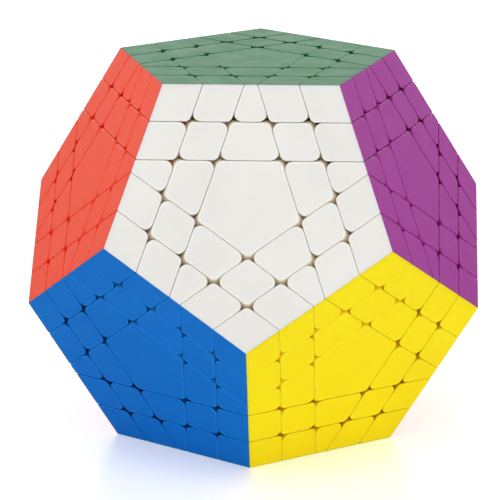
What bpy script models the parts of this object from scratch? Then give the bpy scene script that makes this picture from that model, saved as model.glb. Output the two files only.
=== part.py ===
"""Dodecahedral twisty puzzle with five layers between opposite faces.

The origin is the centre of the core and +Z runs out through the green face. Three faces that
share no piece (green, blue and orange) are built with their full mechanism: a screwed and sprung
hub with a face cap, five corner pieces and five edge pieces that turn as the outer layer, and the
inner slice below it. The pieces that stay still when those turn are grouped by face and by corner.
Where several pieces share one solid, seams part them down to the web that joins them.
"""
import itertools
import math

import bmesh
import bpy
from mathutils import Matrix, Vector

# Driving dimensions, in metres.
EDGE = 0.0520                 # edge of the dodecahedron
CORNER_LENGTH = 0.01206       # corner piece, along the edge
MID_EDGE_WIDTH = 0.0036       # mid-edge piece, along the edge
GAP = 0.0003                  # clearance between two pieces
SEAM_DEPTH = 0.0030           # depth of the seam between pieces that share a solid
ROOT_DEPTH = 0.0015           # how far such a piece runs into the web that carries it
WEB_INSET = 0.0002            # step from the sides of those pieces in to their web

CORE_RADIUS = 0.0140          # ball of the core
ARM_RADIUS = 0.0050           # posts on the core
ARM_TOP = 0.0260              # end of a post, from the centre
SCREW_HOLE_DEPTH = 0.0100     # blind hole in a post

SHANK_RADIUS = 0.0016         # screw
SHANK_ENGAGED = 0.0090        # length of the shank inside the post
HEAD_RADIUS = 0.0033
HEAD_HEIGHT = 0.0020
DRIVE_RADIUS = 0.0012         # hexagonal socket in the head
DRIVE_DEPTH = 0.0012

HEAD_CLEARANCE = 0.0050       # above the head, below the cap's plug
SPRING_RADIUS = 0.00275       # mean radius of the spring's coils
WIRE_RADIUS = 0.00035
SPRING_TURNS = 5.5

HUB_RADIUS = 0.0068           # tube that runs through the slice down to the core
HUB_FLOOR = 0.0025            # floor between the spring and the post
CAP_THICKNESS = 0.0035        # face cap
CAP_PLUG_LENGTH = 0.0060      # plug of the cap in the spring pocket

FOOT_INNER = 0.0140           # inner end of the feet under the hub, from the axis
FOOT_HEIGHT = 0.0026
FOOT_HALF_WIDTH = 0.0030      # corner piece's foot
FOOT_BITE = 0.0030            # length by which a foot runs into its own piece
LIP_HEIGHT = 0.0012           # lip that hooks a foot into the hub
LIP_LENGTH = 0.0020
LIP_HALF_WIDTH = 0.0040       # edge piece's lip
LIP_INSET = 0.0003            # step from the end and sides of a foot in to its lip

RIB_WIDTH = 0.0025            # round guide rib under a slice
RIB_DROP = 0.0025
RIB_WALL = 0.0030             # wall kept outside the rib's groove

STEM_RADIUS = 0.0060          # stem of a fixed face group, on the core's post
STEM_LENGTH = 0.0040
KEEL_WIDTH = 0.0020           # keel under a fixed corner group
KEEL_STOP = 0.0012            # from a corner's axis to the end of its keels
KEEL_HEIGHT = 0.0080          # from the wings in to the inner side of its toe
TOE_WIDTH = 0.0050            # toe along the keel, hooked under the face groups
TOE_HEIGHT = 0.0020
STALK_RADIUS = 0.0030         # stalk under the corner, where its three keels meet
STALK_LENGTH = 0.0100

ROUND_SEGMENTS = 20           # facets around the hub and the ribs
SMALL_SEGMENTS = 12           # facets around screws, posts and stems

# Geometry of the dodecahedron.
TURN = math.radians(72)                       # between neighbouring sides of a face
TILT = math.atan(2)                           # between the normals of two faces that share an edge
COS_TILT = math.cos(TILT)
SIN_TILT = math.sin(TILT)
INRADIUS = EDGE * math.sqrt(250 + 110 * math.sqrt(5)) / 20
CUT_PER_LENGTH = math.sin(TURN) * SIN_TILT    # depth below a face for each metre along the edge
OUTER_CUT = INRADIUS - CORNER_LENGTH * CUT_PER_LENGTH
INNER_CUT = INRADIUS - (EDGE - MID_EDGE_WIDTH) / 2 * CUT_PER_LENGTH
BLOCK = 4 * EDGE                              # half of the block that every convex solid is cut from

HUB_BOTTOM = ARM_TOP + GAP
SPRING_SEAT = HUB_BOTTOM + HUB_FLOOR
POCKET_RADIUS = HEAD_RADIUS + GAP
CAP_BOTTOM = INRADIUS - CAP_THICKNESS
PLUG_BOTTOM = CAP_BOTTOM - CAP_PLUG_LENGTH
HEAD_TOP = PLUG_BOTTOM - HEAD_CLEARANCE
HEAD_BOTTOM = HEAD_TOP - HEAD_HEIGHT
GROUP_FLOOR = ARM_TOP + STEM_LENGTH
FOOT_BOTTOM = OUTER_CUT + GAP / 2 + GAP
FOOT_TOP = FOOT_BOTTOM + FOOT_HEIGHT
WEB_BOTTOM = FOOT_TOP + GAP
WEB_TOP = CAP_BOTTOM - GAP
# Where the cut planes of two neighbouring sides meet, measured level from a face's axis.
HALF_TURN_COS = math.cos(TURN / 2)
CORNER_APEX = (OUTER_CUT - COS_TILT * OUTER_CUT) / (SIN_TILT * HALF_TURN_COS)
EDGE_INNER_LINE = (OUTER_CUT - COS_TILT * OUTER_CUT) / SIN_TILT
RIB_OUTER = (OUTER_CUT - COS_TILT * INNER_CUT) / (SIN_TILT * HALF_TURN_COS) - RIB_WALL
RIB_INNER = RIB_OUTER - RIB_WIDTH
FLAT_SHARE = math.cos(math.pi / ROUND_SEGMENTS)   # middle of a facet, as a share of the radius
GROOVE_OUTER = (RIB_OUTER + GAP) / FLAT_SHARE     # clears the rib's facets as it turns
GROOVE_INNER = RIB_INNER * FLAT_SHARE - GAP
MID_AXIS_COS = math.cos(TILT / 2)             # between a face normal and an edge's two-fold axis
CORNER_AXIS_COS = math.sqrt((1 + 2 * COS_TILT) / 3)   # between a face normal and a corner's axis
WING_INNER_LINE = OUTER_CUT / MID_AXIS_COS    # inner edge of the wings, from the centre
KEEL_INNER = WING_INNER_LINE - KEEL_HEIGHT
STALK_OUTER = OUTER_CUT / CORNER_AXIS_COS     # inner point of a corner piece, from the centre
STALK_INNER = STALK_OUTER - STALK_LENGTH

UP = Vector((0, 0, 1))


def ring_normal(step, height):
    """Normal of one of the ten side faces, turned from the front by a number of 36 degree steps."""
    angle = step * TURN / 2
    return Vector((math.sin(angle) * SIN_TILT, -math.cos(angle) * SIN_TILT, height))


NORMALS = {
    "green": UP,
    "white": ring_normal(0, COS_TILT),
    "purple": ring_normal(2, COS_TILT),
    "sky": ring_normal(4, COS_TILT),
    "cream": ring_normal(6, COS_TILT),
    "red": ring_normal(8, COS_TILT),
    "yellow": ring_normal(1, -COS_TILT),
    "orange": ring_normal(3, -COS_TILT),
    "grey": ring_normal(5, -COS_TILT),
    "pink": ring_normal(7, -COS_TILT),
    "blue": ring_normal(9, -COS_TILT),
    "lime": -UP,
}
TURNING = ("green", "blue", "orange")
FIXED = tuple(name for name in NORMALS if name not in TURNING)

COLOURS = {
    "green": (0.010, 0.250, 0.085),
    "white": (0.830, 0.830, 0.810),
    "purple": (0.370, 0.080, 0.340),
    "sky": (0.230, 0.560, 0.860),
    "cream": (0.860, 0.780, 0.480),
    "red": (0.880, 0.090, 0.050),
    "yellow": (0.950, 0.760, 0.020),
    "orange": (0.900, 0.280, 0.030),
    "grey": (0.300, 0.310, 0.320),
    "pink": (0.880, 0.350, 0.520),
    "blue": (0.005, 0.130, 0.520),
    "lime": (0.330, 0.700, 0.060),
}


def neighbours(name):
    """Faces that share an edge with a face, in order around it."""
    around = [other for other in NORMALS if abs(NORMALS[other].dot(NORMALS[name]) - COS_TILT) < 0.01]
    frame = face_frame(name, around[0])

    def bearing(other):
        local = frame.inverted() @ NORMALS[other]
        return math.atan2(local.x, -local.y) % (2 * math.pi - 0.01)

    return sorted(around, key=bearing)


def face_frame(name, first):
    """Turn that carries +Z onto a face's normal and -Y towards one of its neighbours."""
    normal = NORMALS[name]
    front = (NORMALS[first] - NORMALS[first].dot(normal) * normal).normalized()
    y_axis = -front
    x_axis = y_axis.cross(normal)
    return Matrix((x_axis, y_axis, normal)).transposed()


# Convex solids: a block cut back by planes. A plane is (normal, distance) and keeps what lies
# behind it, nearer the centre than that distance along the normal.
def behind(normal, distance):
    return (normal, distance)


def beyond(normal, distance):
    return (-normal, -distance)


def convex(planes):
    """Mesh of the block cut back by every plane."""
    shape = bmesh.new()
    bmesh.ops.create_cube(shape, size=2 * BLOCK)
    for normal, distance in planes:
        unit = normal.normalized()
        point = unit * (distance / normal.length)
        parts = shape.verts[:] + shape.edges[:] + shape.faces[:]
        cut = bmesh.ops.bisect_plane(shape, geom=parts, dist=1e-7, plane_co=point, plane_no=unit,
                                     clear_outer=True)
        rim = [part for part in cut["geom_cut"] if isinstance(part, bmesh.types.BMEdge)]
        if rim:
            bmesh.ops.edgeloop_fill(shape, edges=rim)
    bmesh.ops.recalc_face_normals(shape, faces=shape.faces[:])
    mesh = bpy.data.meshes.new("convex")
    shape.to_mesh(mesh)
    shape.free()
    return mesh


def turned(profile, segments):
    """Mesh of a closed profile of (radius, height) points turned about Z."""
    shape = bmesh.new()
    loop = [shape.verts.new((radius, 0, height)) for radius, height in profile]
    edges = [shape.edges.new((loop[i - 1], loop[i])) for i in range(len(loop))]
    on_axis = [profile[i - 1][0] == 0 and profile[i][0] == 0 for i in range(len(loop))]
    for edge, axial in zip(edges, on_axis):
        if axial:
            shape.edges.remove(edge)
    bmesh.ops.spin(shape, geom=shape.verts[:] + shape.edges[:], cent=(0, 0, 0), axis=(0, 0, 1),
                   angle=2 * math.pi, steps=segments)
    bmesh.ops.remove_doubles(shape, verts=shape.verts[:], dist=1e-6)
    bmesh.ops.recalc_face_normals(shape, faces=shape.faces[:])
    mesh = bpy.data.meshes.new("turned")
    shape.to_mesh(mesh)
    shape.free()
    return mesh


def cylinder(radius, low, high, segments):
    return turned([(0, low), (radius, low), (radius, high), (0, high)], segments)


def combine(base, operation, *tools):
    """Mesh of a base joined with, or cut by, each tool in turn."""
    for tool in tools:
        body = bpy.data.objects.new("body", base)
        other = bpy.data.objects.new("tool", tool)
        for item in (body, other):
            bpy.context.scene.collection.objects.link(item)
        modifier = body.modifiers.new("combine", "BOOLEAN")
        modifier.object = other
        modifier.operation = operation
        modifier.solver = "EXACT"
        graph = bpy.context.evaluated_depsgraph_get()
        result = bpy.data.meshes.new_from_object(body.evaluated_get(graph), depsgraph=graph)
        bpy.data.objects.remove(body)
        bpy.data.objects.remove(other)
        bpy.data.meshes.remove(base)
        bpy.data.meshes.remove(tool)
        base = result
    return base


# Pieces. A piece is named by two sets of faces: those whose outer layer it belongs to, and those
# whose inner slice it belongs to.
def meeting(*names):
    return all(b in neighbours(a) for a, b in itertools.combinations(names, 2))


def all_pieces():
    """Every piece of the surface as (faces of its outer layers, faces of its inner slices)."""
    found = [((name,), ()) for name in NORMALS]
    found += [((first,), (second,)) for first in NORMALS for second in neighbours(first)]
    for first, second in itertools.combinations(NORMALS, 2):
        if meeting(first, second):
            found.append(((first, second), ()))
    for trio in CORNERS:
        found.append((trio, ()))
        for name in trio:
            others = tuple(other for other in trio if other != name)
            found.append(((name,), others))
            found.append((others, (name,)))
    return found


CORNERS = [trio for trio in itertools.combinations(NORMALS, 3) if meeting(*trio)]
FIXED_CORNERS = [trio for trio in CORNERS if not set(trio) & set(TURNING)]
PIECES = all_pieces()


def shell(depth=0.0):
    """Planes of the puzzle's outer surface, or of one set in from it."""
    return [behind(normal, INRADIUS - depth) for normal in NORMALS.values()]


def piece_solid(outer, inner, depth=None):
    """One piece between its cut planes, as deep as its layer or only to a depth below its face."""
    planes = shell()
    for name, normal in NORMALS.items():
        if name in outer:
            planes.append(beyond(normal, OUTER_CUT + GAP / 2))
            if depth is not None:
                planes.append(beyond(normal, INRADIUS - depth))
        elif name in inner:
            planes += [beyond(normal, INNER_CUT + GAP / 2), behind(normal, OUTER_CUT - GAP / 2)]
        else:
            planes.append(behind(normal, INNER_CUT - GAP / 2))
    return convex(planes)


# Pieces of a turning layer, made once on the green face and copied.
GREEN_SIDES = neighbours("green")


def side_direction(step):
    """Level direction from the axis towards a side of the green face, in 36 degree steps."""
    angle = step * TURN / 2
    return Vector((math.sin(angle), -math.cos(angle), 0))


def foot_planes(direction, outer_end):
    """Planes that bound a foot in height and along its own direction."""
    return [beyond(UP, FOOT_BOTTOM), behind(UP, FOOT_TOP), beyond(direction, FOOT_INNER),
            behind(direction, outer_end)]


def strip(direction, half_width):
    across = direction.cross(UP)
    return [behind(across, half_width), behind(-across, half_width)]


def lip(direction, half_width):
    """Upstanding hook at the inner end of a foot."""
    planes = [beyond(UP, FOOT_BOTTOM + LIP_INSET), behind(UP, FOOT_TOP + LIP_HEIGHT),
              beyond(direction, FOOT_INNER + LIP_INSET), behind(direction, FOOT_INNER + LIP_LENGTH)]
    return convex(planes + strip(direction, half_width))


def corner_piece():
    """Corner between the green face and two neighbours, with its hooked foot."""
    direction = side_direction(1)
    body = piece_solid(("green", GREEN_SIDES[0], GREEN_SIDES[1]), ())
    foot = foot_planes(direction, CORNER_APEX + FOOT_BITE) + strip(direction, FOOT_HALF_WIDTH)
    return combine(body, "UNION", convex(foot), lip(direction, FOOT_HALF_WIDTH - LIP_INSET))


def edge_piece():
    """Two wings and the narrow mid-edge piece between them, carried on one hooked foot."""
    direction = side_direction(0)
    edge = ("green", GREEN_SIDES[0])
    foot = foot_planes(direction, EDGE_INNER_LINE + FOOT_BITE)
    rooms = []
    for step in (-1, 1):
        corner = side_direction(step)
        across = corner.cross(UP)
        inward = across if across.dot(direction) > 0 else -across
        foot.append(beyond(inward, FOOT_HALF_WIDTH + 2 * GAP))
        room = [beyond(UP, FOOT_BOTTOM - 2 * GAP), behind(UP, FOOT_TOP + GAP),
                beyond(corner, FOOT_INNER), behind(corner, CORNER_APEX + 2 * FOOT_BITE)]
        rooms.append(convex(room + strip(corner, FOOT_HALF_WIDTH + GAP)))
    pieces = [piece_solid(edge, (GREEN_SIDES[side],)) for side in (1, 4)]
    pieces.append(piece_solid(edge, ()))
    solid = combine(convex(foot), "UNION", lip(direction, LIP_HALF_WIDTH), *pieces)
    return combine(solid, "DIFFERENCE", *rooms)


def centre_block():
    """Hub tube and web with the ten pieces around the cap, hollow for the screw and the spring."""
    web = [beyond(UP, WEB_BOTTOM), behind(UP, WEB_TOP)]
    web += [behind(NORMALS[name], OUTER_CUT - GAP / 2 - WEB_INSET) for name in GREEN_SIDES]
    pieces = []
    for outer, inner in PIECES:
        if outer == ("green",) and inner:
            pieces.append(piece_solid(outer, inner, INRADIUS - WEB_TOP + ROOT_DEPTH))
    flange = cylinder(FOOT_INNER - GAP, FOOT_BOTTOM, WEB_BOTTOM + ROOT_DEPTH, ROUND_SEGMENTS)
    tube = cylinder(HUB_RADIUS, HUB_BOTTOM, WEB_BOTTOM, ROUND_SEGMENTS)
    reach = math.hypot(FOOT_INNER + LIP_LENGTH, LIP_HALF_WIDTH) + GAP
    lip_top = FOOT_TOP + LIP_HEIGHT + GAP
    groove = turned([(FOOT_INNER, FOOT_TOP), (reach, FOOT_TOP), (reach, lip_top),
                     (FOOT_INNER, lip_top)], ROUND_SEGMENTS)
    pocket = cylinder(POCKET_RADIUS, SPRING_SEAT, INRADIUS, SMALL_SEGMENTS)
    passage = cylinder(SHANK_RADIUS + GAP, HUB_BOTTOM - HUB_FLOOR, SPRING_SEAT + HUB_FLOOR, SMALL_SEGMENTS)
    solid = combine(convex(web), "UNION", flange, tube, *pieces)
    return combine(solid, "DIFFERENCE", groove, pocket, passage)


def face_cap():
    """Pentagonal centre cap with the plug that presses into the spring pocket."""
    plate = piece_solid(("green",), (), CAP_THICKNESS)
    plug = cylinder(HEAD_RADIUS, PLUG_BOTTOM, CAP_BOTTOM + CAP_THICKNESS / 2, SMALL_SEGMENTS)
    return combine(plate, "UNION", plug)


def slice_ring():
    """The twenty pieces of an inner slice on one web, which runs on the hub and on a rib below."""
    low = INNER_CUT + GAP / 2 + WEB_INSET
    high = OUTER_CUT - GAP / 2 - WEB_INSET
    web = convex(shell(SEAM_DEPTH) + [beyond(UP, low), behind(UP, high)])
    pieces = []
    for outer, inner in PIECES:
        if "green" in inner:
            wing = len(outer) == 2
            pieces.append(piece_solid(outer, inner, None if wing else SEAM_DEPTH + ROOT_DEPTH))
    rib_low = INNER_CUT - RIB_DROP
    rib = turned([(RIB_INNER, rib_low), (RIB_OUTER, rib_low), (RIB_OUTER, low + RIB_DROP),
                  (RIB_INNER, low + RIB_DROP)], ROUND_SEGMENTS)
    bore = cylinder(HUB_RADIUS + GAP, GROUP_FLOOR, INRADIUS, ROUND_SEGMENTS)
    return combine(combine(web, "UNION", rib, *pieces), "DIFFERENCE", bore)


def screw():
    """Cap screw with a hexagonal socket, driven into the core's post."""
    tip = ARM_TOP - SHANK_ENGAGED
    profile = [(0, tip), (SHANK_RADIUS, tip), (SHANK_RADIUS, HEAD_BOTTOM),
               (HEAD_RADIUS, HEAD_BOTTOM), (HEAD_RADIUS, HEAD_TOP), (0, HEAD_TOP)]
    socket = cylinder(DRIVE_RADIUS, HEAD_TOP - DRIVE_DEPTH, HEAD_TOP + DRIVE_DEPTH, 6)
    return combine(turned(profile, SMALL_SEGMENTS), "DIFFERENCE", socket)


def spring():
    """Compression spring, a round wire wound on a helix with one closed turn at each end."""
    sides = 4
    steps_per_turn = 8
    closed_pitch = 2 * WIRE_RADIUS + GAP
    low = SPRING_SEAT + GAP + WIRE_RADIUS
    rise = HEAD_BOTTOM - GAP - WIRE_RADIUS - low
    open_pitch = (rise - 2 * closed_pitch) / (SPRING_TURNS - 2)
    shape = bmesh.new()
    rows = []
    for step in range(int(SPRING_TURNS * steps_per_turn) + 1):
        turn = step / steps_per_turn
        opened = min(max(turn - 1, 0), SPRING_TURNS - 2)
        height = low + (turn - opened) * closed_pitch + opened * open_pitch
        outward = Vector((math.cos(turn * 2 * math.pi), math.sin(turn * 2 * math.pi), 0))
        centre = outward * SPRING_RADIUS + UP * height
        row = []
        for side in range(sides):
            angle = side * 2 * math.pi / sides
            offset = outward * math.cos(angle) + UP * math.sin(angle)
            row.append(shape.verts.new(centre + WIRE_RADIUS * offset))
        rows.append(row)
    for previous, row in zip(rows, rows[1:]):
        for side in range(sides):
            shape.faces.new((previous[side - 1], previous[side], row[side], row[side - 1]))
    shape.faces.new(rows[0])
    shape.faces.new(rows[-1])
    bmesh.ops.recalc_face_normals(shape, faces=shape.faces[:])
    mesh = bpy.data.meshes.new("spring")
    shape.to_mesh(mesh)
    shape.free()
    return mesh


# Fixed pieces, made where they stand.
def core():
    """Ball with twelve posts, each with a blind screw hole."""
    shape = bmesh.new()
    bmesh.ops.create_icosphere(shape, subdivisions=2, radius=CORE_RADIUS)
    ball = bpy.data.meshes.new("ball")
    shape.to_mesh(ball)
    shape.free()
    hole = SHANK_RADIUS + GAP
    root = CORE_RADIUS - ARM_RADIUS
    for name in NORMALS:
        profile = [(0, root), (ARM_RADIUS, root), (ARM_RADIUS, ARM_TOP), (hole, ARM_TOP),
                   (hole, ARM_TOP - SCREW_HOLE_DEPTH), (0, ARM_TOP - SCREW_HOLE_DEPTH)]
        post = turned(profile, SMALL_SEGMENTS)
        post.transform(face_frame(name, neighbours(name)[0]).to_4x4())
        ball = combine(ball, "UNION", post)
    return ball


def end_faces(first, second):
    """The two faces at the ends of the edge between two faces."""
    return [name for name in neighbours(first) if name in neighbours(second)]


def carrying_face(first, second):
    """Fixed face that carries an edge's mid-edge piece when both its ends turn away, or None."""
    if all(name in TURNING for name in end_faces(first, second)):
        return max(first, second)
    return None


def group_middles(trio):
    """Pairs of faces whose mid-edge piece belongs to a corner group.

    A mid-edge piece between two fixed corners belongs to the one with fewer fixed neighbours.
    """
    def fixed_neighbours(corner):
        return sum(len(set(corner) & set(other)) == 2 for other in FIXED_CORNERS)

    pairs = []
    for pair in itertools.combinations(trio, 2):
        ends = [corner for corner in FIXED_CORNERS if set(pair) <= set(corner)]
        if min(ends, key=fixed_neighbours) == trio:
            pairs.append(pair)
    return pairs


def corner_axis(trio):
    """Three-fold axis through a corner."""
    return sum((NORMALS[name] for name in trio), Vector()).normalized()


def under_edge(first, second, width, off_slice, short_of_axis):
    """Planes of a strip under an edge, kept off the slices and short of the corners' axes."""
    across = (NORMALS[first] - NORMALS[second]).normalized()
    outward = (NORMALS[first] + NORMALS[second]).normalized()
    planes = [behind(across, width / 2), behind(-across, width / 2)]
    for name in end_faces(first, second):
        if name in TURNING:
            planes.append(behind(NORMALS[name], INNER_CUT - RIB_DROP - off_slice))
        else:
            axis = corner_axis((first, second, name))
            along = axis - axis.dot(outward) * outward
            past_axis = along.normalized() * axis.dot(outward) - outward * along.length
            planes.append(behind(past_axis, -short_of_axis))
    return planes


def toe_planes(first, second, clearance):
    """Planes of the toe along a keel's inner edge."""
    outward = (NORMALS[first] + NORMALS[second]).normalized()
    planes = under_edge(first, second, TOE_WIDTH + 2 * clearance, 3 * GAP - clearance,
                        STALK_RADIUS + GAP - clearance)
    planes.append(beyond(outward, KEEL_INNER - clearance))
    planes.append(behind(outward, KEEL_INNER + TOE_HEIGHT + clearance))
    return planes


def stalk(trio, clearance):
    """Stalk under a fixed corner, or the room for it."""
    mesh = cylinder(STALK_RADIUS + clearance, STALK_INNER - clearance, STALK_OUTER + FOOT_BITE,
                    SMALL_SEGMENTS)
    mesh.transform(UP.rotation_difference(corner_axis(trio)).to_matrix().to_4x4())
    return mesh


def corner_group(trio):
    """A fixed corner with its three wings and their mid-edge pieces, on hooked keels."""
    middles = group_middles(trio)
    parts = [stalk(trio, 0)]
    for pair in itertools.combinations(trio, 2):
        near = next(name for name in trio if name not in pair)
        far = next(name for name in end_faces(*pair) if name != near)
        outward = (NORMALS[pair[0]] + NORMALS[pair[1]]).normalized()
        keel = under_edge(*pair, KEEL_WIDTH, 2 * GAP, KEEL_STOP)
        keel += [beyond(outward, KEEL_INNER + TOE_HEIGHT / 2),
                 behind(outward, WING_INNER_LINE + KEEL_WIDTH)]
        toe = toe_planes(*pair, 0)
        if pair in middles:
            parts.append(piece_solid(pair, ()))
            keel.append(behind(NORMALS[far], INNER_CUT - GAP))
            toe.append(behind(NORMALS[far], INNER_CUT - 2 * GAP))
        else:
            keel.append(beyond(NORMALS[near], INNER_CUT + GAP))
            toe.append(beyond(NORMALS[near], INNER_CUT + 2 * GAP))
        parts += [convex(keel), convex(toe), piece_solid(pair, (near,))]
    return combine(piece_solid(trio, ()), "UNION", *parts)


def face_group(name):
    """The centre pieces of a fixed face on one web, with the stem that stands on its post."""
    normal = NORMALS[name]
    web = [beyond(normal, GROUP_FLOOR), behind(normal, INRADIUS - SEAM_DEPTH)]
    parts, rooms = [], []
    for outer, inner in PIECES:
        if outer == (name,) and not set(inner) & set(TURNING):
            parts.append(piece_solid(outer, inner, SEAM_DEPTH + ROOT_DEPTH))
    for other in neighbours(name):
        side = NORMALS[other]
        if other in TURNING:
            web.append(behind(side, INNER_CUT - GAP / 2 - WEB_INSET))
            groove_floor = INNER_CUT - RIB_DROP - GAP
            ring = turned([(GROOVE_INNER, groove_floor), (GROOVE_OUTER, groove_floor),
                           (GROOVE_OUTER, INRADIUS), (GROOVE_INNER, INRADIUS)], ROUND_SEGMENTS)
            ring.transform(face_frame(other, neighbours(other)[0]).to_4x4())
            rooms.append(ring)
            continue
        away = (side - normal).normalized()
        web.append(behind(side, OUTER_CUT - GAP / 2 - WEB_INSET))
        carrier = carrying_face(name, other)
        web.append(behind(away, -GAP / 2 if carrier else -KEEL_WIDTH / 2 - GAP))
        if not carrier:
            rooms.append(convex(toe_planes(name, other, GAP)))
        elif carrier == name:
            tongue = [beyond(normal, OUTER_CUT + 2 * GAP), behind(normal, OUTER_CUT + FOOT_HEIGHT),
                      beyond(side, OUTER_CUT - FOOT_BITE), behind(side, OUTER_CUT + FOOT_BITE)]
            tongue += [behind(NORMALS[end], INNER_CUT - FOOT_BITE) for end in end_faces(name, other)]
            parts += [convex(tongue), piece_solid((name, other), ())]
    rooms += [stalk(trio, GAP) for trio in FIXED_CORNERS if name in trio]
    stem = cylinder(STEM_RADIUS, HUB_BOTTOM, GROUP_FLOOR + HUB_FLOOR, SMALL_SEGMENTS)
    stem.transform(face_frame(name, neighbours(name)[0]).to_4x4())
    return combine(combine(convex(web), "UNION", stem, *parts), "DIFFERENCE", *rooms)


# Materials.
def finish(name, colour, roughness, metallic):
    material = bpy.data.materials.new(name)
    material.use_nodes = True
    shader = material.node_tree.nodes["Principled BSDF"]
    shader.inputs["Base Color"].default_value = (*colour, 1)
    shader.inputs["Roughness"].default_value = roughness
    shader.inputs["Metallic"].default_value = metallic
    material.diffuse_color = (*colour, 1)
    return material


def coloured_plastic(name):
    return finish(name + "_plastic", COLOURS[name], 0.30, 0)


def core_nylon():
    return finish("core_nylon", (0.75, 0.75, 0.72), 0.45, 0)


def steel():
    return finish("steel", (0.60, 0.61, 0.62), 0.30, 1)


# Assembly.
def place(name, mesh, material, parent=None, turn=0.0, smooth=False):
    """One named piece, turned about its parent's axis."""
    piece = bpy.data.objects.new(name, mesh)
    bpy.context.scene.collection.objects.link(piece)
    piece.rotation_euler = (0, 0, turn)
    piece.parent = parent
    if not mesh.materials:
        mesh.materials.append(material)
    piece.material_slots[0].link = "OBJECT"
    piece.material_slots[0].material = material
    if smooth:
        mesh.shade_smooth()
        mesh.set_sharp_from_angle(angle=math.radians(35))
    return piece


def axis_empty(name, face):
    """Empty at the centre of the puzzle whose Z axis is a face's turning axis."""
    empty = bpy.data.objects.new(name, None)
    bpy.context.scene.collection.objects.link(empty)
    empty.rotation_euler = face_frame(face, neighbours(face)[0]).to_euler()
    return empty


def main():
    for item in list(bpy.data.objects):
        bpy.data.objects.remove(item)
    plastics = {name: coloured_plastic(name) for name in NORMALS}
    metal = steel()
    place("core", core(), core_nylon(), smooth=True)
    shapes = {"cap": face_cap(), "centre_block": centre_block(), "slice": slice_ring(),
              "corner": corner_piece(), "edge": edge_piece(), "screw": screw(), "spring": spring()}
    for face in TURNING:
        plastic = plastics[face]
        layer = axis_empty(face + "_layer_axis", face)
        place(face + "_cap", shapes["cap"], plastic, layer)
        place(face + "_centre_block", shapes["centre_block"], plastic, layer, smooth=True)
        for side in range(5):
            place(f"{face}_corner_{side + 1}", shapes["corner"], plastic, layer, side * TURN)
            place(f"{face}_edge_{side + 1}", shapes["edge"], plastic, layer, side * TURN)
        slice_axis = axis_empty(face + "_slice_axis", face)
        place(face + "_slice", shapes["slice"], plastic, slice_axis, smooth=True)
        fixed_axis = axis_empty(face + "_screw_axis", face)
        place(face + "_screw", shapes["screw"], metal, fixed_axis, smooth=True)
        place(face + "_spring", shapes["spring"], metal, fixed_axis, smooth=True)
    for face in FIXED:
        place(face + "_face_group", face_group(face), plastics[face], smooth=True)
    for trio in FIXED_CORNERS:
        place("_".join(trio) + "_corner_group", corner_group(trio), plastics[trio[0]], smooth=True)


main()
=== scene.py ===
import itertools
import math

import bmesh
import bpy
from mathutils import Matrix, Vector


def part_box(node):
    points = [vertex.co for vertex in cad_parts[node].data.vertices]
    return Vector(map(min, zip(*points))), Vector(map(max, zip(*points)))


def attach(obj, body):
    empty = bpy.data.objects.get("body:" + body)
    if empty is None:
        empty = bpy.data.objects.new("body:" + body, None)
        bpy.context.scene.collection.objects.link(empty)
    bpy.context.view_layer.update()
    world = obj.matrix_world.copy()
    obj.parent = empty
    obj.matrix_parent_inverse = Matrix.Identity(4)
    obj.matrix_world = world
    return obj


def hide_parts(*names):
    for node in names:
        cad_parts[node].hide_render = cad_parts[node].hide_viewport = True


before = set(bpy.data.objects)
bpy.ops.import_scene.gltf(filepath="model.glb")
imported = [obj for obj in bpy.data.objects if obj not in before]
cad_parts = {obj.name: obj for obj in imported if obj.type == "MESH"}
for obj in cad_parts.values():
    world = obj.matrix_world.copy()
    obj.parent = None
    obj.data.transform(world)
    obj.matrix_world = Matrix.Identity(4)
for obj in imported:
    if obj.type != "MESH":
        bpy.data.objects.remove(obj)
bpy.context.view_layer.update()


# Core: a ball with twelve posts, one under each face, moulded in one shot from natural nylon.
# The nylon is milky, with a waxy sheen and faint cloudy flow marks where it cooled.
def linear(code):
    """An sRGB hex colour as linear RGBA."""
    parts = [int(code[i:i + 2], 16) / 255 for i in (1, 3, 5)]
    return (*[p / 12.92 if p <= 0.04045 else ((p + 0.055) / 1.055) ** 2.4 for p in parts], 1)


def add(tree, kind, settings, links=()):
    """Adds a node with its settings, and feeds its inputs from (input, output) links."""
    made = tree.nodes.new("ShaderNode" + kind)
    for name, value in settings.items():
        if isinstance(name, int) or name in made.inputs:
            made.inputs[name].default_value = value
        else:
            setattr(made, name, value)
    for name, source in links:
        tree.links.new(source, made.inputs[name])
    return made


def new_material(name):
    """An empty material with its node tree and object coordinates, which are in metres."""
    material = bpy.data.materials.new(name)
    material.use_nodes = True
    tree = material.node_tree
    tree.nodes.clear()
    return material, tree, add(tree, "TexCoord", {}).outputs["Object"]


def moulded_nylon():
    material, tree, place = new_material("natural_nylon_moulded")
    # Flow marks some 12 mm long, and a grain of 0.4 mm from the mould's eroded walls.
    flow = add(tree, "TexNoise", {"Scale": 1 / 0.012, "Detail": 3, "Distortion": 1.2}, [("Vector", place)])
    grain = add(tree, "TexNoise", {"Scale": 1 / 0.0004, "Detail": 2}, [("Vector", place)])
    tint = add(tree, "ValToRGB", {}, [("Fac", flow.outputs["Fac"])])
    tint.color_ramp.elements[0].color = linear("#D6D4C8")
    tint.color_ramp.elements[1].color = linear("#E6E4DA")
    gloss = add(tree, "MapRange", {"To Min": 0.38, "To Max": 0.52}, [("Value", flow.outputs["Fac"])])
    relief = add(tree, "Bump", {"Strength": 0.6, "Distance": 0.000006}, [("Height", grain.outputs["Fac"])])
    shader = add(tree, "BsdfPrincipled", {"IOR": 1.53}, [
        ("Base Color", tint.outputs["Color"]), ("Roughness", gloss.outputs["Result"]),
        ("Normal", relief.outputs["Normal"])])
    add(tree, "OutputMaterial", {}, [("Surface", shader.outputs["BSDF"])])
    return material


nylon = moulded_nylon()
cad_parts["core"].material_slots[0].material = nylon


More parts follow.
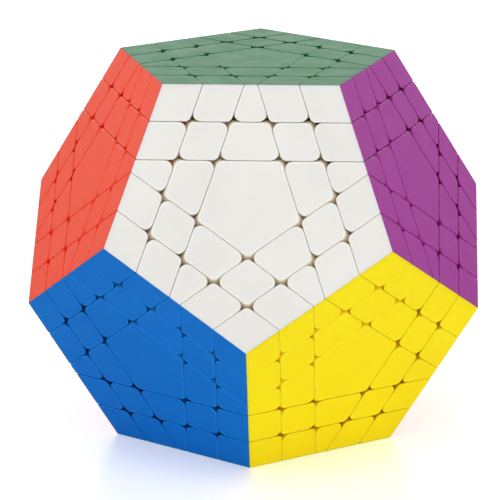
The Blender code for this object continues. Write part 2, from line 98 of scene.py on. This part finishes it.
# Screws and springs: one screw in each post of the core holds a face's hub down on a spring, and
# sets how stiffly the face turns. Both are zinc-plated steel, and the drawing of the wire leaves
# a cool shine with fine streaks along it.
def plated_steel():
    material, tree, place = new_material("zinc_plated_steel_drawn")
    # Drawing marks 0.1 mm apart, drawn three times as long as they are wide.
    spread = add(tree, "Mapping", {"Scale": (1, 1, 0.3)}, [("Vector", place)])
    marks = add(tree, "TexNoise", {"Scale": 1 / 0.0001, "Detail": 3}, [("Vector", spread.outputs["Vector"])])
    bloom = add(tree, "TexNoise", {"Scale": 1 / 0.002, "Detail": 2}, [("Vector", place)])
    tint = add(tree, "ValToRGB", {}, [("Fac", bloom.outputs["Fac"])])
    tint.color_ramp.elements[0].color = linear("#B9BCC0")
    tint.color_ramp.elements[1].color = linear("#D2D4D6")
    gloss = add(tree, "MapRange", {"To Min": 0.22, "To Max": 0.40}, [("Value", marks.outputs["Fac"])])
    relief = add(tree, "Bump", {"Strength": 0.5, "Distance": 0.000003}, [("Height", marks.outputs["Fac"])])
    shader = add(tree, "BsdfPrincipled", {"Metallic": 1}, [
        ("Base Color", tint.outputs["Color"]), ("Roughness", gloss.outputs["Result"]),
        ("Normal", relief.outputs["Normal"])])
    add(tree, "OutputMaterial", {}, [("Surface", shader.outputs["BSDF"])])
    return material


steel = plated_steel()
for name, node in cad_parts.items():
    if name.endswith(("_screw", "_spring")):
        node.material_slots[0].material = steel


# Hubs: a tube under each face that turns above the core's post, with a pocket for the spring and
# the screw's head. They are moulded in the same nylon as the core, and the screw holds them down.
HUB_RADIUS = 0.0068
HUB_LEAD = 0.0004             # bevel that leads the spring in and the hub through its slice frame
POCKET_RADIUS = 0.0036
SHANK_ROOM = 0.0019
HUB_FLOOR = 0.0025
POST_TOP = 0.0260
SEAM = 0.00015                # between any two pieces

COS_TILT = math.cos(math.atan(2))             # between two faces that share an edge
SIN_TILT = math.sin(math.atan(2))
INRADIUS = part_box("green_cap")[1].z
EDGE = 20 * INRADIUS / math.sqrt(250 + 110 * math.sqrt(5))
UP = Vector((0, 0, 1))


def ring_normal(step, height):
    """Normal of one of the ten side faces, turned from the front in steps of 36 degrees."""
    angle = math.radians(36 * step)
    return Vector((math.sin(angle) * SIN_TILT, -math.cos(angle) * SIN_TILT, height))


NORMALS = {"green": UP, "lime": -UP}
for step, (upper, lower) in enumerate(zip(("white", "purple", "sky", "cream", "red"),
                                          ("yellow", "orange", "grey", "pink", "blue"))):
    NORMALS[upper] = ring_normal(2 * step, COS_TILT)
    NORMALS[lower] = ring_normal(2 * step + 1, -COS_TILT)
TURNING = ("green", "blue", "orange")

# How deep a cut lies below its face grows with how far along the edge it meets the next face.
DEPTH_PER_LENGTH = math.sin(math.radians(72)) * SIN_TILT
CORNER_LENGTH = 0.01206
MID_EDGE_WIDTH = 0.0036
OUTER_CUT = INRADIUS - CORNER_LENGTH * DEPTH_PER_LENGTH
INNER_CUT = INRADIUS - (EDGE - MID_EDGE_WIDTH) / 2 * DEPTH_PER_LENGTH


def body_for(outer, inner=()):
    """The moving body of a piece in the outer layers and inner slices of these faces."""
    for face in TURNING:
        if face in outer:
            return face + "_outer_layer"
    for face in TURNING:
        if face in inner:
            return face + "_inner_slice"
    return "root"


def finish_piece(name, shape, material, body):
    """Makes the object of a finished shape, with its flats shaded flat beside the rounds."""
    mesh = bpy.data.meshes.new(name)
    shape.to_mesh(mesh)
    shape.free()
    mesh.materials.append(material)
    mesh.shade_smooth()
    mesh.set_sharp_from_angle(angle=math.radians(38))
    piece = bpy.data.objects.new(name, mesh)
    bpy.context.scene.collection.objects.link(piece)
    flats = piece.modifiers.new("flats", "WEIGHTED_NORMAL")
    flats.keep_sharp = True
    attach(piece, body)
    return piece


def hub(face):
    """A hub's profile, spun round the axis of its face."""
    low, high = POST_TOP + SEAM, OUTER_CUT - 2 * SEAM
    profile = [(SHANK_ROOM, low), (HUB_RADIUS - HUB_LEAD, low), (HUB_RADIUS, low + HUB_LEAD),
               (HUB_RADIUS, high - HUB_LEAD), (HUB_RADIUS - HUB_LEAD, high),
               (POCKET_RADIUS + HUB_LEAD, high), (POCKET_RADIUS, high - HUB_LEAD),
               (POCKET_RADIUS, low + HUB_FLOOR), (SHANK_ROOM, low + HUB_FLOOR)]
    shape = bmesh.new()
    loop = [shape.verts.new((radius, 0, height)) for radius, height in profile]
    ring = [shape.edges.new((loop[i - 1], loop[i])) for i in range(len(loop))]
    bmesh.ops.spin(shape, geom=loop + ring, cent=(0, 0, 0), axis=UP, angle=2 * math.pi, steps=48)
    bmesh.ops.remove_doubles(shape, verts=shape.verts[:], dist=1e-6)
    bmesh.ops.recalc_face_normals(shape, faces=shape.faces[:])
    shape.transform(UP.rotation_difference(NORMALS[face]).to_matrix().to_4x4())
    return shape


for face in NORMALS:
    finish_piece(face + "_hub", hub(face), nylon, body_for((face,)))


# Slice frames: the plate below each outer layer that carries the slice's pieces round the hub.
# It is moulded in the same nylon, turns on the hub, and is hidden until a layer is turned away.
FRAME_ROUND = 0.0003


def cut_off(shape, normal, distance):
    """Cuts off what lies further out than a plane, and closes the cut."""
    unit = normal.normalized()
    cut = bmesh.ops.bisect_plane(shape, geom=shape.verts[:] + shape.edges[:] + shape.faces[:], dist=1e-7,
                                 plane_co=unit * (distance / normal.length), plane_no=unit,
                                 clear_outer=True)
    rim = [part for part in cut["geom_cut"] if isinstance(part, bmesh.types.BMEdge)]
    if rim:
        bmesh.ops.edgeloop_fill(shape, edges=rim)


def carved(planes):
    """A block cut back by (normal, distance) planes."""
    shape = bmesh.new()
    bmesh.ops.create_cube(shape, size=4 * EDGE)
    for normal, distance in planes:
        cut_off(shape, normal, distance)
    bmesh.ops.recalc_face_normals(shape, faces=shape.faces[:])
    return shape


def meets(first, second):
    """Whether two faces share an edge."""
    return abs(NORMALS[first].dot(NORMALS[second]) - COS_TILT) < 0.01


def slice_frame(face):
    """The plate between a face's two cuts, up to the pieces of the faces round it."""
    normal = NORMALS[face]
    planes = [(normal, OUTER_CUT - SEAM / 2), (-normal, -INNER_CUT - SEAM / 2)]
    for other in NORMALS:
        if not meets(face, other):
            continue
        if face in TURNING:
            planes.append((NORMALS[other], OUTER_CUT - SEAM / 2))
        elif other in TURNING:
            planes.append((NORMALS[other], INNER_CUT - SEAM / 2))
        else:
            planes.append((NORMALS[other] - normal, -SEAM))
    shape = carved(planes)
    bmesh.ops.bevel(shape, geom=shape.edges[:], offset=FRAME_ROUND, offset_type="OFFSET", segments=2,
                    profile=0.5, affect="EDGES")
    return shape


def bored(shape, face):
    """A slice frame with the hub's hole cut through it."""
    normal = NORMALS[face]
    room = HUB_RADIUS + SEAM
    hole = bmesh.new()
    bmesh.ops.create_cone(hole, cap_ends=True, segments=32, radius1=room, radius2=room,
                          depth=4 * (OUTER_CUT - INNER_CUT))
    hole.transform(Matrix.Translation(UP * OUTER_CUT))
    hole.transform(UP.rotation_difference(normal).to_matrix().to_4x4())
    solids = []
    for part in (shape, hole):
        mesh = bpy.data.meshes.new("part")
        part.to_mesh(mesh)
        part.free()
        solids.append(bpy.data.objects.new("part", mesh))
        bpy.context.scene.collection.objects.link(solids[-1])
    plate, drill = solids
    cutter = plate.modifiers.new("hole", "BOOLEAN")
    cutter.object = drill
    cutter.operation = "DIFFERENCE"
    cutter.solver = "EXACT"
    graph = bpy.context.evaluated_depsgraph_get()
    result = bmesh.new()
    result.from_mesh(plate.evaluated_get(graph).to_mesh())
    for part in solids:
        bpy.data.objects.remove(part)
    return result


for face in NORMALS:
    body = face + "_inner_slice" if face in TURNING else "root"
    plate = finish_piece(face + "_slice_frame", bored(slice_frame(face), face), nylon, body)
    if face in TURNING:
        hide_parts(face + "_slice")


# Coloured pieces: every piece of the surface is injection moulded in ABS that is coloured right
# through, so no sticker is needed. The mould leaves a fine satin face, and handling polishes the
# rims. The rims' colour is painted light and shade: lighter as a painted highlight on most colours,
# darker as painted shade in the seams on green, purple and red. A foot below each face, clipped or
# moulded on, holds the piece in the puzzle.
# Body colour, then the rim's painted colour, for each face.
COLOURS = {
    "green": ("#05703A", "#056336"), "white": ("#EAE8E4", "#F6F5F1"), "purple": ("#A02C94", "#962688"),
    "sky": ("#7FC1EC", "#A3D4F3"), "cream": ("#F0DFA0", "#F7EABA"), "red": ("#FF4E2C", "#F03A20"),
    "yellow": ("#FFE200", "#FFEA30"), "orange": ("#F5871B", "#FA9F42"), "grey": ("#8A8D90", "#A3A6A8"),
    "pink": ("#F08FAF", "#F6ABC3"), "blue": ("#006FC6", "#1A84DA"), "lime": ("#92CE35", "#A9DC57"),
}


def moulded_abs(face):
    body_colour, painted_rim_colour = COLOURS[face]
    material, tree, place = new_material(face + "_abs_satin_moulded")
    # Pigment drifts over some 25 mm, hands leave smudges of 7 mm and scuffs of 1.5 mm, and the satin
    # grain of the mould is really 0.05 mm, drawn at 0.35 mm so that it shows.
    drift = add(tree, "TexNoise", {"Scale": 1 / 0.025, "Detail": 2}, [("Vector", place)])
    smudge = add(tree, "TexNoise", {"Scale": 1 / 0.007, "Detail": 4, "Roughness": 0.6}, [("Vector", place)])
    grain = add(tree, "TexNoise", {"Scale": 1 / 0.00035, "Detail": 2}, [("Vector", place)])
    scuff = add(tree, "TexNoise", {"Scale": 1 / 0.0015, "Detail": 3}, [("Vector", place)])
    rim = add(tree, "Attribute", {"attribute_name": "rim"})
    shade = add(tree, "MapRange", {"From Min": 0.3, "From Max": 0.7, "To Min": 0.975, "To Max": 1.02},
                [("Value", drift.outputs["Fac"])])
    tone = add(tree, "HueSaturation", {"Color": linear(body_colour)}, [("Value", shade.outputs["Result"])])
    # Scuffs set where the rims are polished and how strongly their painted rim colour shows.
    rim_wear_and_paint_strength = add(tree, "MapRange", {"From Min": 0.35, "From Max": 0.65, "To Min": 0.25, "To Max": 0.8},
               [("Value", scuff.outputs["Fac"])])
    rim_wear_and_paint = add(tree, "Math", {"operation": "MULTIPLY"},
               [(0, rim_wear_and_paint_strength.outputs["Result"]), (1, rim.outputs["Fac"])])
    # The two colours that a Mix node takes are its inputs 6 and 7, and it gives output 2.
    colour = add(tree, "Mix", {"data_type": "RGBA", 7: linear(painted_rim_colour)},
                 [(0, rim_wear_and_paint.outputs["Value"]), (6, tone.outputs["Color"])])
    # The walls inside the seams, and the feet below them, are painted a warmer, darker tone: painted shade
    # for the seams and the holes.
    wall = add(tree, "Attribute", {"attribute_name": "wall"})
    painted_wall_shade = add(tree, "Mix", {"data_type": "RGBA", "blend_type": "MULTIPLY", 7: linear("#FFF3DC")},
               [(0, wall.outputs["Fac"]), (6, colour.outputs[2])])
    satin = add(tree, "MapRange", {"From Min": 0.3, "From Max": 0.7, "To Min": 0.34, "To Max": 0.44},
                [("Value", smudge.outputs["Fac"])])
    polish = add(tree, "Math", {"operation": "MULTIPLY_ADD", 1: -0.22},
                 [(0, rim_wear_and_paint.outputs["Value"]), (2, satin.outputs["Result"])])
    texture = add(tree, "Bump", {"Strength": 0.5, "Distance": 0.000004}, [("Height", grain.outputs["Fac"])])
    sink = add(tree, "Bump", {"Strength": 0.5, "Distance": 0.00002},
               [("Height", smudge.outputs["Fac"]), ("Normal", texture.outputs["Normal"])])
    # Light goes about a millimetre into the plastic, so the seams between light pieces stay bright,
    # and the satin grain takes some of the gloss that polished ABS would have.
    shader = add(tree, "BsdfPrincipled", {
        "IOR": 1.54, "Specular IOR Level": 0.2, "Subsurface Weight": 0.7, "Subsurface Scale": 0.0010,
        "Subsurface Radius": (1, 0.9, 0.75)}, [
        ("Base Color", painted_wall_shade.outputs[2]), ("Roughness", polish.outputs["Value"]),
        ("Normal", sink.outputs["Normal"])])
    add(tree, "OutputMaterial", {}, [("Surface", shader.outputs["BSDF"])])
    return material


plastics = {face: moulded_abs(face) for face in NORMALS}

# Where seams cross, the upright corners of the pieces are rounded, which leaves a small hole.
UPRIGHT_RADIUS = 0.0020
RIM = 0.00036                 # rounding of a piece's rim, back from the rim
EDGE_ROUND = 0.00025          # and of the puzzle's own edges
ROUND_STEPS = 6
RIM_STEPS = 3


def on_surface(part, faces):
    middle = part.calc_center_median()
    return any(abs(middle.dot(NORMALS[face]) - INRADIUS) < 1e-6 for face in faces)


SHELL = 0.0030                # depth of a piece's coloured shell below its face
SHELL_FIT = 0.00003           # where two shells, or a shell and its foot, are pressed together


def cuts(outer, inner):
    """The planes round a piece in the outer layers and inner slices of these faces."""
    planes = [(NORMALS[face], INRADIUS) for face in outer]
    for face, normal in NORMALS.items():
        if face in outer:
            planes.append((-normal, -OUTER_CUT - SEAM / 2))
        elif face in inner:
            planes += [(-normal, -INNER_CUT - SEAM / 2), (normal, OUTER_CUT - SEAM / 2)]
        elif any(meets(face, other) for other in outer):
            planes.append((normal, INNER_CUT - SEAM / 2))
    return planes


def foot(outer, inner):
    """A piece below its shells, square at the corners, so that it closes the holes above."""
    shape = carved(cuts(outer, inner))
    shape.faces.layers.float.new("rim")
    wall = shape.faces.layers.float.new("wall")
    for face in outer:
        cut_off(shape, NORMALS[face], INRADIUS - SHELL - SHELL_FIT)
    # The whole foot is marked for the painted shade of the seams and holes.
    for face in shape.faces:
        face[wall] = 1
    return shape


def head(outer, inner):
    """A piece with round uprights and eased rims, down to the depth of its shells."""
    shape = carved(cuts(outer, inner))
    rim_wear_and_paint_strength = shape.faces.layers.float.new("rim")
    wall = shape.faces.layers.float.new("wall")
    uprights = {}
    for edge in shape.edges:
        walls = not any(on_surface(face, outer) for face in edge.link_faces)
        if walls and any(on_surface(face, outer) for vert in edge.verts for face in vert.link_faces):
            uprights.setdefault(round(edge.calc_face_angle(), 3), []).append(edge)
    for angle, edges in uprights.items():
        bmesh.ops.bevel(shape, geom=[edge for edge in edges if edge.is_valid], segments=ROUND_STEPS,
                        offset=UPRIGHT_RADIUS * math.tan(angle / 2), offset_type="OFFSET", profile=0.5,
                        affect="EDGES")
    skin = {face for face in shape.faces if on_surface(face, outer)}
    ridges = [edge for edge in shape.edges if skin.issuperset(edge.link_faces)]
    if ridges:
        rounded = bmesh.ops.bevel(shape, geom=ridges, offset=EDGE_ROUND, offset_type="OFFSET",
                                  segments=RIM_STEPS, profile=0.5, affect="EDGES")
        skin = {face for face in shape.faces if on_surface(face, outer)} | set(rounded["faces"])
    rims = [edge for edge in shape.edges if len(skin.intersection(edge.link_faces)) == 1]
    eased = bmesh.ops.bevel(shape, geom=rims, offset=RIM, offset_type="OFFSET", segments=RIM_STEPS,
                            profile=0.5, affect="EDGES")
    # The eased rims are marked for their polish and for their painted rim colour.
    for face in eased["faces"]:
        face[rim_wear_and_paint_strength] = 1
    # Faces set back below the rim, the walls in the seams, are marked for the painted shade of the seams.
    for face in shape.faces:
        middle = face.calc_center_median()
        if min(INRADIUS - middle.dot(NORMALS[other]) for other in outer) > RIM:
            face[wall] = 1
    if len(outer) == 1:
        cut_off(shape, -NORMALS[outer[0]], -(INRADIUS - SHELL))
    return shape


def gather(groups, key, shape):
    """Adds a shape to the others of its group."""
    mesh = bpy.data.meshes.new("gathered")
    shape.to_mesh(mesh)
    shape.free()
    groups.setdefault(key, bmesh.new()).from_mesh(mesh)
    bpy.data.meshes.remove(mesh)


# Centre pieces: between the cap and the edge pieces of each face lie five four-sided pieces beside
# the cap's sides and five beside its corners. Each is moulded in one colour, with its foot hooked
# under its neighbours.
centres = {}
for face in NORMALS:
    around = [other for other in NORMALS if meets(face, other)]
    for other in around:
        for part in (head, foot):
            gather(centres, (face, body_for((face,), (other,))), part((face,), (other,)))
    for pair in itertools.combinations(around, 2):
        if meets(*pair):
            for part in (head, foot):
                gather(centres, (face, body_for((face,), pair)), part((face,), pair))
for (face, body), shape in centres.items():
    piece = finish_piece(f"{face}_centres_{body}", shape, plastics[face], body)
    if face in TURNING:
        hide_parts(face + "_centre_block")


# Caps: the five-sided plate in the middle of each face, moulded in ABS. It is pressed into the hub
# over the screw and hides it.
caps = {}
for face in NORMALS:
    for part in (head, foot):
        gather(caps, face, part((face,), ()))
    cap = finish_piece(face + "_cap_cover", caps[face], plastics[face], body_for((face,)))
    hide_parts(face + ("_cap" if face in TURNING else "_face_group"))


# Edge pieces: on each edge two wings with a narrow middle piece between them. Each has a shell in
# both faces' colours, which meet along the edge, clipped on a foot in one of the two colours.
def add_shells(groups, outer, inner):
    """Adds a piece's shells and its foot to the groups of their colours."""
    shape = head(outer, inner)
    body = body_for(outer, inner)
    for face in outer:
        shell = shape.copy()
        for other in outer:
            if other != face:
                cut_off(shell, NORMALS[other] - NORMALS[face], -SHELL_FIT / 2)
        cut_off(shell, -NORMALS[face], -(INRADIUS - SHELL))
        gather(groups, (face, body), shell)
    shape.free()
    gather(groups, (foot_colour(outer), body), foot(outer, inner))


def foot_colour(outer):
    """The colour that the foot of a piece is moulded in."""
    order = ("red", "blue", "green", "purple", "grey", "orange", "pink", "lime", "sky", "yellow",
             "cream", "white")
    return min(outer, key=order.index)


edges = {}
pairs = [pair for pair in itertools.combinations(NORMALS, 2) if meets(*pair)]
for pair in pairs:
    add_shells(edges, pair, ())
    for face in NORMALS:
        if all(meets(face, other) for other in pair):
            add_shells(edges, pair, (face,))
for (face, body), shape in edges.items():
    piece = finish_piece(f"{face}_edges_{body}", shape, plastics[face], body)
    if body == face + "_outer_layer":
        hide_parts(*[f"{face}_edge_{side}" for side in range(1, 6)])


# Corner pieces: three shells that meet at the corner, each in its own face's colour and moulded in
# ABS, clipped on a foot in one of the three colours.
corners = {}
for trio in itertools.combinations(NORMALS, 3):
    if all(meets(*pair) for pair in itertools.combinations(trio, 2)):
        add_shells(corners, trio, ())
for (face, body), shape in corners.items():
    piece = finish_piece(f"{face}_corners_{body}", shape, plastics[face], body)
    if body == face + "_outer_layer":
        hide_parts(*[f"{face}_corner_{side}" for side in range(1, 6)])
    if body == "root":
        groups = [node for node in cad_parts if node.startswith(face + "_")
                  and node.endswith("_corner_group")]
        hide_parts(*groups)


# Floor: a white acrylic sheet, extruded and left smooth, which gives a faint, soft reflection of
# the puzzle that fades within a few centimetres.
FLOOR_DROP = 0.00002


def floor_acrylic():
    material, tree, place = new_material("white_acrylic_sheet")
    haze = add(tree, "TexNoise", {"Scale": 1 / 0.08, "Detail": 2}, [("Vector", place)])
    gloss = add(tree, "MapRange", {"To Min": 0.28, "To Max": 0.34}, [("Value", haze.outputs["Fac"])])
    # The glossy plastic mirrors the sheet dimly, as it would through a polarising filter.
    path = add(tree, "LightPath", {})
    white = add(tree, "Mix", {"data_type": "RGBA", 6: linear("#F7F7F7"), 7: linear("#505050")},
                [(0, path.outputs["Is Glossy Ray"])])
    glow = add(tree, "MapRange", {"To Min": 0.34, "To Max": 0}, [("Value", path.outputs["Is Glossy Ray"])])
    shader = add(tree, "BsdfPrincipled", {"IOR": 1.49, "Emission Color": (1, 1, 1, 1)}, [
        ("Base Color", white.outputs[2]), ("Emission Strength", glow.outputs["Result"]),
        ("Roughness", gloss.outputs["Result"])])
    add(tree, "OutputMaterial", {}, [("Surface", shader.outputs["BSDF"])])
    return material


sheet = bmesh.new()
bmesh.ops.create_grid(sheet, x_segments=8, y_segments=8, size=4)
sheet.transform(Matrix.Translation((0, 0, -INRADIUS - FLOOR_DROP)))
floor_mesh = bpy.data.meshes.new("floor")
sheet.to_mesh(floor_mesh)
sheet.free()
floor_mesh.materials.append(floor_acrylic())
floor = bpy.data.objects.new("floor", floor_mesh)
bpy.context.scene.collection.objects.link(floor)


# Light: a white studio with a bright surround. One small softbox overhead picks out the rims, one at
# each front side fills the faces, and one behind gives the top its sheen.
world = bpy.data.worlds.new("studio")
world.use_nodes = True
world.node_tree.nodes["Background"].inputs["Color"].default_value = (1, 1, 1, 1)
world.node_tree.nodes["Background"].inputs["Strength"].default_value = 0.68
bpy.context.scene.world = world


def softbox(name, place, width, depth, power):
    """A rectangular softbox that faces the puzzle."""
    lamp = bpy.data.lights.new(name, "AREA")
    lamp.shape = "RECTANGLE"
    lamp.size = width
    lamp.size_y = depth
    lamp.energy = power
    box = bpy.data.objects.new(name, lamp)
    box.location = place
    box.rotation_euler = (-Vector(place)).to_track_quat("-Z", "Y").to_euler()
    bpy.context.scene.collection.objects.link(box)


softbox("overhead_softbox", (0.0, -0.4, 1.05), 0.5, 0.4, 2.7)
softbox("left_softbox", (-1.0, -1.1, 0.55), 0.8, 0.8, 1.6)
softbox("right_softbox", (1.0, -1.1, 0.55), 0.8, 0.8, 1.6)
softbox("rear_softbox", (0.0, 1.5, 0.45), 1.8, 0.9, 4.0)


# Camera: a long lens, a little above the puzzle and turned slightly to its right.
AZIMUTH = math.radians(2.282)
ELEVATION = math.radians(15.534)
DISTANCE = 1.0734
ASIDE = 0.0017                # to the left of the puzzle's middle
BELOW = 0.0023                # and below it
right = Vector((math.cos(AZIMUTH), math.sin(AZIMUTH), 0))
back = Vector((math.sin(AZIMUTH) * math.cos(ELEVATION), -math.cos(AZIMUTH) * math.cos(ELEVATION),
               math.sin(ELEVATION)))
above = back.cross(right)
lens = bpy.data.cameras.new("camera")
lens.sensor_width = 36
lens.lens = 251.6
lens.clip_start = 0.05
lens.clip_end = 20
camera = bpy.data.objects.new("camera", lens)
turned = Matrix((right, above, back)).transposed().to_4x4()
camera.matrix_world = Matrix.Translation(back * DISTANCE - right * ASIDE - above * BELOW) @ turned
bpy.context.scene.collection.objects.link(camera)
bpy.context.scene.camera = camera
bpy.context.scene.view_settings.view_transform = "Standard"
